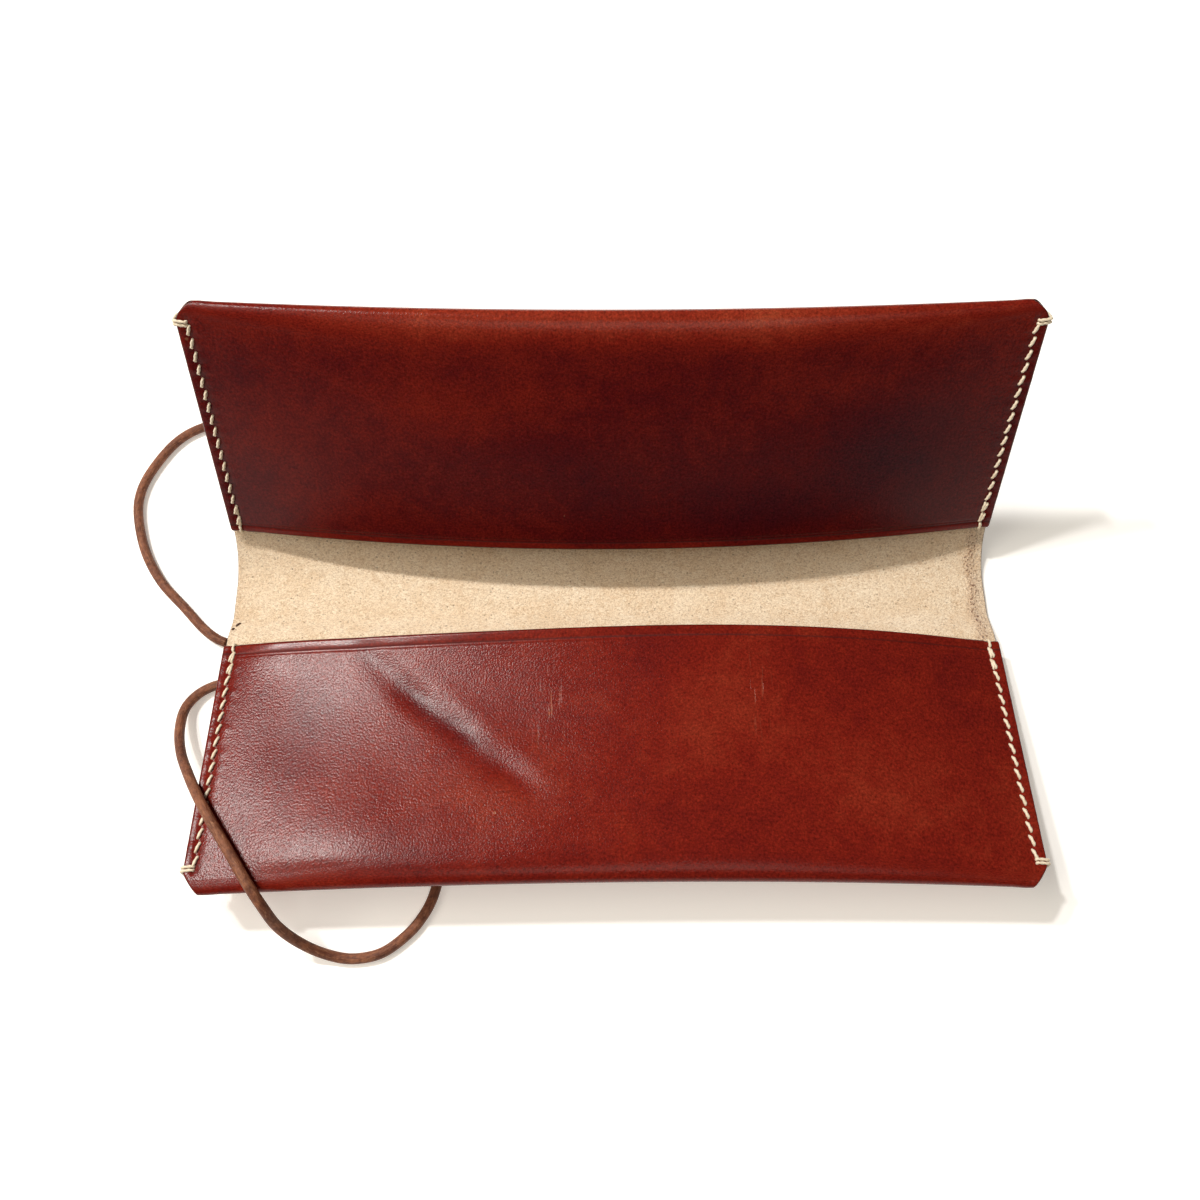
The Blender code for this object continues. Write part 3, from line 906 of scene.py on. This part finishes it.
mahogany = {
    "stops": (
        (0.00, (0.040, 0.0035, 0.0070)),
        (0.28, (0.085, 0.0050, 0.0050)),
        (0.50, (0.160, 0.0110, 0.0055)),
        (0.72, (0.228, 0.0260, 0.0110)),
        (1.00, (0.330, 0.0750, 0.0300)),
    ),
    "cloudShare": 0.16,
    "cloudSpread": 34.0,  # in a metre
    "scratch": ((0.42, 0.16, 0.09, 1), 0.55),  # colour, how strongly it covers
    "fleck": ((0.50, 0.24, 0.13, 1), 0.35),
    "pore": ((0.030, 0.004, 0.004, 1), 0.30),
    "line": ((0.036, 0.004, 0.003, 1), 0.62),
    "rim": ((0.028, 0.007, 0.005, 1), 0.90),
    "roughness": (0.19, 0.23),
    "lineDulled": 0.4,
    "pebbles": 1900.0,  # in a metre
    "relief": (0.8, 0.00008),  # strength and depth of the grain
}


def mahoganyMaterial(pores, clouds):
    material, tree = newMaterial("mahoganyGrainSide")
    flat = uvOf(tree, "flatHide")
    dyeAndShade = cloudy(tree, clouds, flat, mahogany["cloudSpread"])
    tone = added(tree, attribute(tree, "tone"), dyeAndShade, mahogany["cloudShare"])
    color = ramp(tree, ranged(tree, tone, -1.0, 1.0), mahogany["stops"])
    streaks = noisy(tree, stretched(tree, flat, (1500, 75, 1)), 1.0, 2.0, 0.5, 0.4)
    scratch = times(tree, ranged(tree, streaks, 0.61, 0.67), attribute(tree, "scuff"))
    color = tinted(tree, color, scratch, mahogany["scratch"])
    fleck = ranged(tree, cells(tree, flat, 95.0), 0.045, 0.02)
    shown = number(tree, "GREATER_THAN", noisy(tree, flat, 60.0, 1.0), 0.60)
    color = tinted(tree, color, times(tree, fleck, shown), mahogany["fleck"])
    grain = useGroup(tree, pores, {"Vector": flat, "Pebbles": mahogany["pebbles"]})
    color = tinted(tree, color, grain.outputs["Pores"], mahogany["pore"])
    uneven = ranged(tree, noisy(tree, flat, 1250.0, 3.0, 0.7), 0.30, 0.70, 0.58, 1.42)
    uneven = times(tree, uneven, ranged(tree, grain.outputs["Height"], 0.42, 0.82, 0.84, 1.14))
    color = mixed(tree, 1.0, color, uneven, "MULTIPLY")
    line = ranged(tree, attribute(tree, "pressed"), 0.40, 0.75)
    color = tinted(tree, color, line, mahogany["line"])
    color = tinted(tree, color, attribute(tree, "rim"), mahogany["rim"])
    rough = ranged(tree, noisy(tree, flat, 120.0, 4.0, 0.6), 0.3, 0.7, *mahogany["roughness"])
    rough = added(tree, rough, line, mahogany["lineDulled"])
    smoothed = ranged(tree, attribute(tree, "pressed"), 0.0, 0.35, 1.0, 0.35)
    height = times(tree, added(tree, grain.outputs["Height"], scratch, -0.8), smoothed)
    normal = bumped(tree, height, mahogany["relief"])
    shade(tree, {"Base Color": color, "Roughness": rough, "Normal": normal, "Specular IOR Level": 0.13})
    return material


flesh = {
    "light": (0.965, 0.800, 0.595, 1),
    "dark": (0.850, 0.640, 0.425, 1),
    "hollow": ((0.430, 0.270, 0.150, 1), 0.84),  # colour, how strongly it covers
    "pale": ((0.990, 0.890, 0.730, 1), 0.70),
    "speck": ((0.200, 0.105, 0.050, 1), 0.60),
    "stain": ((0.110, 0.030, 0.012, 1), 0.90),
    "tint": ((0.480, 0.250, 0.130, 1), 0.22),
    "rim": ((0.060, 0.022, 0.012, 1), 0.80),
    "relief": (0.9, 0.00050),
}


def fleshMaterial(clouds):
    material, tree = newMaterial("naturalFleshSide")
    shade(tree, {"Roughness": 0.88, "Specular IOR Level": 0.18})
    shade(tree, {"Sheen Weight": 0.25, "Sheen Roughness": 0.5})
    flat = uvOf(tree, "flatHide")
    dyeAndShade = cloudy(tree, clouds, flat, 70.0)
    color = mixed(tree, ranged(tree, dyeAndShade, -1.0, 1.0), flesh["dark"], flesh["light"])
    fibres = noisy(tree, stretched(tree, flat, (1500, 2100, 1)), 1.0, 4.0, 0.70, 1.2)
    color = tinted(tree, color, ranged(tree, fibres, 0.53, 0.33), flesh["hollow"])
    color = tinted(tree, color, ranged(tree, fibres, 0.52, 0.66), flesh["pale"])
    speck = ranged(tree, cells(tree, flat, 620.0), 0.22, 0.12)
    speck = times(tree, speck, ranged(tree, noisy(tree, flat, 230.0, 2.0), 0.47, 0.60))
    color = tinted(tree, color, speck, flesh["speck"])
    rough = noisy(tree, stretched(tree, flat, (1500, 1150, 1)), 1.0, 3.0, 0.65)
    stained = attribute(tree, "stain")
    torn = times(tree, stained, ranged(tree, rough, 0.53, 0.60))
    color = tinted(tree, color, torn, flesh["stain"])
    color = tinted(tree, color, stained, flesh["tint"])
    color = tinted(tree, color, attribute(tree, "rim"), flesh["rim"])
    nap = noisy(tree, flat, 2300.0, 3.0, 0.7)
    height = added(tree, fibres, nap, 0.5)
    height = added(tree, height, rough, times(tree, stained, 1.5))
    shade(tree, {"Base Color": color, "Normal": bumped(tree, height, flesh["relief"])})
    return material


cutEdge = {
    "dark": (0.036, 0.010, 0.006, 1),
    "light": (0.110, 0.030, 0.016, 1),
    "roughness": (0.34, 0.58),
    "relief": (0.35, 0.00008),
}


def edgeMaterial(clouds):
    material, tree = newMaterial("burnishedEdge")
    flat = uvOf(tree, "flatHide")
    dyeAndShade = cloudy(tree, clouds, flat, 160.0)
    color = mixed(tree, ranged(tree, dyeAndShade, -1.2, 1.2), cutEdge["dark"], cutEdge["light"])
    rough = ranged(tree, noisy(tree, flat, 900.0, 3.0), 0.3, 0.7, *cutEdge["roughness"])
    normal = bumped(tree, noisy(tree, flat, 1500.0, 3.0, 0.6), cutEdge["relief"])
    shade(tree, {"Base Color": color, "Roughness": rough, "Normal": normal})
    shade(tree, {"Coat Weight": 0.15, "Coat Roughness": 0.3})
    return material


threadLooks = {
    "waxedCreamThread": ((0.90, 0.82, 0.66, 1), (0.56, 0.42, 0.25, 1), 0.15),  # light, dark, wax
    "darkTackThread": ((0.110, 0.042, 0.018, 1), (0.030, 0.010, 0.005, 1), 0.0),
}


def threadMaterial(name):
    # wax and fine fibres, darker in patches
    light, dark, wax = threadLooks[name]
    material, tree = newMaterial(name)
    shade(tree, {"Sheen Weight": wax * 0.8, "Coat Weight": wax, "Coat Roughness": 0.35})
    places = addNode(tree, "ShaderNodeTexCoord", {}).outputs["Object"]
    flat = uvOf(tree, "aroundAlong")
    fibres = noisy(tree, stretched(tree, flat, (26, 5200, 1)), 1.0, 3.0, 0.6, 0.6)
    grime = noisy(tree, places, 420.0, 3.0, 0.6)
    color = mixed(tree, ranged(tree, fibres, 0.30, 0.65), dark, light)
    color = tinted(tree, color, ranged(tree, grime, 0.52, 0.72), (dark, 0.55))
    rough = ranged(tree, fibres, 0.3, 0.7, 0.62, 0.48)
    normal = bumped(tree, fibres, (0.4, 0.00005))
    shade(tree, {"Base Color": color, "Roughness": rough, "Normal": normal})
    return material


lace = {
    "light": (0.270, 0.098, 0.046, 1),
    "dark": (0.085, 0.024, 0.012, 1),
    "worn": ((0.470, 0.230, 0.120, 1), 0.62),  # colour, how strongly it covers
    "creased": ((0.085, 0.024, 0.012, 1), 0.85),
    "roughness": (0.46, 0.66),
    "relief": (0.7, 0.00022),
}


def laceMaterial(pores, clouds):
    material, tree = newMaterial("brownCordLeather")
    flat = uvOf(tree, "aroundAlong")
    around = stretched(tree, flat, (0.0091, 1, 1))
    dyeAndShade = cloudy(tree, clouds, around, 110.0)
    color = mixed(tree, ranged(tree, dyeAndShade, -1.1, 1.1), lace["dark"], lace["light"])
    fibres = noisy(tree, stretched(tree, flat, (15, 330, 1)), 1.0, 5.0, 0.68, 0.9)
    color = tinted(tree, color, ranged(tree, fibres, 0.54, 0.70), lace["worn"])
    color = tinted(tree, color, ranged(tree, fibres, 0.47, 0.34), lace["creased"])
    rough = ranged(tree, fibres, 0.3, 0.7, *lace["roughness"])
    grain = useGroup(tree, pores, {"Vector": around, "Pebbles": 1700.0})
    normal = bumped(tree, added(tree, grain.outputs["Height"], fibres, 1.6), lace["relief"])
    shade(tree, {"Base Color": color, "Roughness": rough, "Normal": normal, "Specular IOR Level": 0.28})
    return material


pores = poresGroup()
clouds = cloudsGroup()
mahoganyGrain = mahoganyMaterial(pores, clouds)
fleshSide = fleshMaterial(clouds)
burnishedEdge = edgeMaterial(clouds)
creamThread = threadMaterial("waxedCreamThread")
tackThread = threadMaterial("darkTackThread")
cordLeather = laceMaterial(pores, clouds)
print("stage 2: materials are mixed")


photoView = {
    "place": (-0.00799, -0.11717, 0.31030),
    "tilt": math.radians(20.77),
    "turn": math.radians(-2.12),
    "roll": math.radians(1.67),
    "lens": 32.3,
}

cameraData = bpy.data.cameras.new("photoCamera")
cameraData.lens = photoView["lens"]
cameraData.sensor_width = 36
cameraData.clip_start = 0.01
camera = placed("photoCamera", cameraData)
aim = Matrix.Rotation(photoView["turn"], 3, "Z") @ Matrix.Rotation(photoView["tilt"], 3, "X")
camera.location = photoView["place"]
camera.rotation_euler = (aim @ Matrix.Rotation(photoView["roll"], 3, "Z")).to_euler()
bpy.context.scene.camera = camera

cords = {
    "diameter": 0.0029,
    "samples": 8,
    "sides": 20,
    "endSteps": (0.00002, 0.00010, 0.00024),  # extra rings near the ends, which are cut off square
    "endRound": 0.25,  # how far they are rounded, as a share of the radius
    "uneven": (0.022, 90),  # how much thinner in places, and how often
    "clearance": 0.00004,  # above the table
    "upperRoute": (
        (-0.1160, -0.0134, 0.0015), (-0.1196, -0.0118, 0.0015), (-0.1242, -0.0082, 0.0015),
        (-0.1303, -0.0018, 0.0015), (-0.1383, 0.0065, 0.0015), (-0.1445, 0.0166, 0.0016),
        (-0.1483, 0.0281, 0.0017), (-0.1489, 0.0365, 0.0017), (-0.1464, 0.0450, 0.0016),
        (-0.1402, 0.0550, 0.0015), (-0.1322, 0.0606, 0.0015), (-0.1195, 0.0640, 0.0015),
        (-0.1040, 0.0652, 0.0015), (-0.0850, 0.0648, 0.0015), (-0.0650, 0.0636, 0.0015),
        (-0.0440, 0.0624, 0.0015), (-0.0230, 0.0618, 0.0015), (-0.0010, 0.0622, 0.0015),
        (0.0210, 0.0634, 0.0015), (0.0420, 0.0640, 0.0015),
    ),
    "lowerRoute": (
        (-0.1155, -0.0137, 0.0015), (-0.1124, -0.0147, 0.0015), (-0.1094, -0.0168, 0.0015),
        (-0.1082, -0.0200, 0.0015), (-0.1096, -0.0236, 0.0015), (-0.1134, -0.0256, 0.0015),
        (-0.1184, -0.0268, 0.0016), (-0.1228, -0.0296, 0.0020), (-0.1255, -0.0344, 0.0032),
        (-0.1250, -0.0416, 0.0062), (-0.1222, -0.0490, 0.0102), (-0.1177, -0.0562, 0.0145),
        (-0.1128, -0.0634, 0.0180), (-0.1075, -0.0707, 0.0200), (-0.1021, -0.0779, 0.0215),
        (-0.0967, -0.0854, 0.0226), (-0.0925, -0.0915, 0.0205), (-0.0896, -0.0963, 0.0142),
        (-0.0850, -0.1001, 0.0074), (-0.0789, -0.1028, 0.0028), (-0.0721, -0.1040, 0.0015),
        (-0.0647, -0.1028, 0.0015), (-0.0587, -0.0990, 0.0015), (-0.0540, -0.0940, 0.0015),
        (-0.0505, -0.0870, 0.0015), (-0.0478, -0.0740, 0.0015), (-0.0450, -0.0600, 0.0015),
        (-0.0405, -0.0460, 0.0015), (-0.0335, -0.0330, 0.0015), (-0.0235, -0.0225, 0.0015),
        (-0.0095, -0.0168, 0.0015), (0.0080, -0.0152, 0.0015), (0.0260, -0.0150, 0.0015),
        (0.0440, -0.0150, 0.0015),
    ),
}


def leatherCord(name, route, node):
    points = smoothLine(route, cords["samples"])
    radius = cords["diameter"] / 2
    for point in points:
        point.z = max(point.z, radius + cords["clearance"])
    ahead = (points[1] - points[0]).normalized()
    behind = (points[-2] - points[-1]).normalized()
    drawn = [points[0]] + [points[0] + ahead * step for step in cords["endSteps"]] + points[1:-1]
    drawn += [points[-1] + behind * step for step in reversed(cords["endSteps"])] + [points[-1]]
    much, often = cords["uneven"]
    radii = roundedRadii(drawn, radius, radius * cords["endRound"])
    radii = [r * min(1 + much * noise.noise(point * often), 1) for r, point in zip(radii, drawn)]
    bm = bmesh.new()
    sweptTube(bm, drawn, radii, cords["sides"])
    cord = placed(name, finishedMesh(name, bm, cordLeather))
    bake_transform(cord, "spine", "front_half", start=frontHalf["blendStart"], end=frontHalf["blendEnd"])
    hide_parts(node)


leatherCord("upperCord", cords["upperRoute"], "cord_upper_tail")
leatherCord("lowerCord", cords["lowerRoute"], "cord_lower_tail")
print("stage 3: camera and cords are in place")


for half in (frontHalf, rearHalf):
    solid = thickHide(half, (mahoganyGrain, fleshSide, burnishedEdge))
    leather = placed(half["name"] + "Leather", solid)
    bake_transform(leather, "spine", half["body"], start=half["blendStart"], end=half["blendEnd"])
    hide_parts("spine", half["name"] + "_back_wall", half["name"] + "_pocket_panel")
    flatLength = profileAt(half, 0)[-1][1]
    print("stage 4:", half["name"], "leather, flat length", round(flatLength * 1000, 1), "mm")

for half in (frontHalf, rearHalf):
    for xSide, side in ((-1, "left"), (1, "right")):
        thread = sewnSeam(half, xSide, creamThread)
        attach(thread, half["body"])
        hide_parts(half["name"] + "_" + side + "_seam_thread")
print("stage 5: the seams are sewn")

tack = {
    "radius": 0.00030,
    "lift": 0.00010,
    "plunge": 0.0007,
    # the ends of each dash, as x and the distance in front of the spine's middle
    "dashes": (((-0.1132, 0.0088), (-0.1124, 0.0080)), ((-0.1141, 0.0103), (-0.1138, 0.0100))),
}


def fleshAt(x, across, above):
    # a point over the flesh side between the spine's middle and the front wall
    rows = bendRows(frontHalf)
    for near, far in zip(rows, rows[1:]):
        if near.x <= across <= far.x:
            slope = (far - near).normalized()
            place = near + slope * ((across - near.x) / slope.x)
            place += Vector((-slope.y, slope.x)) * (halfHide + above)
            return Vector((x, -place.x, place.y))


tackMesh = bmesh.new()
for first, last in tack["dashes"]:
    heights = (-tack["plunge"], tack["lift"], tack["lift"], -tack["plunge"])
    places = [fleshAt(*end, height) for end, height in zip((first, first, last, last), heights)]
    strand(tackMesh, places, tack["radius"])
tackStitch = placed("cordTackStitch", finishedMesh("cordTackStitch", tackMesh, tackThread))
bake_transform(tackStitch, "spine", "front_half", start=frontHalf["blendStart"], end=frontHalf["blendEnd"])
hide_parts("cord_tack_stitch")
print("stage 6: the cord is tacked on")


table = {
    "Base Color": (0.93, 0.925, 0.915, 1),
    "Roughness": 0.75,
    "Specular IOR Level": 0.15,
    "Emission Color": (1, 0.94, 0.84, 1),  # a faint glow, for the light that the room throws back
    "Emission Strength": 0.30,
}

paleTable, tableTree = newMaterial("paleTable")
shade(tableTree, table)
floorMesh = bmesh.new()
bmesh.ops.create_grid(floorMesh, x_segments=1, y_segments=1, size=3.0)
floor = placed("floor", finishedMesh("floor", floorMesh, paleTable))

lamps = {
    "keyNear": {"place": (-0.52, 0.42, 1.12), "size": (0.07, 0.07), "power": 8.6, "color": (1, 0.97, 0.93)},
    "keyLow": {"place": (-0.68, 0.43, 1.03), "size": (0.07, 0.07), "power": 7.2, "color": (1, 0.98, 0.95)},
    "fillLeft": {"place": (-0.95, -0.05, 1.25), "size": (0.9, 0.9), "power": 10.5, "color": (1, 0.92, 0.80)},
    "fillFront": {"place": (0.10, -0.62, 1.35), "size": (0.8, 0.6), "power": 4.2, "color": (1, 0.93, 0.83)},
}

for name, lamp in lamps.items():
    data = bpy.data.lights.new(name, "AREA")
    data.shape = "RECTANGLE"
    data.size, data.size_y = lamp["size"]
    data.energy = lamp["power"]
    data.color = lamp["color"]
    light = placed(name, data)
    light.location = lamp["place"]
    light.rotation_euler = (-Vector(lamp["place"])).to_track_quat("-Z", "Y").to_euler()

room = {"Color": (1, 0.98, 0.95, 1), "Strength": 0.05}

world = bpy.data.worlds.new("softRoom")
world.use_nodes = True
setSockets(world.node_tree, world.node_tree.nodes["Background"], room)
bpy.context.scene.world = world
bpy.context.scene.view_settings.view_transform = "Standard"
print("stage 7: floor and light are set")
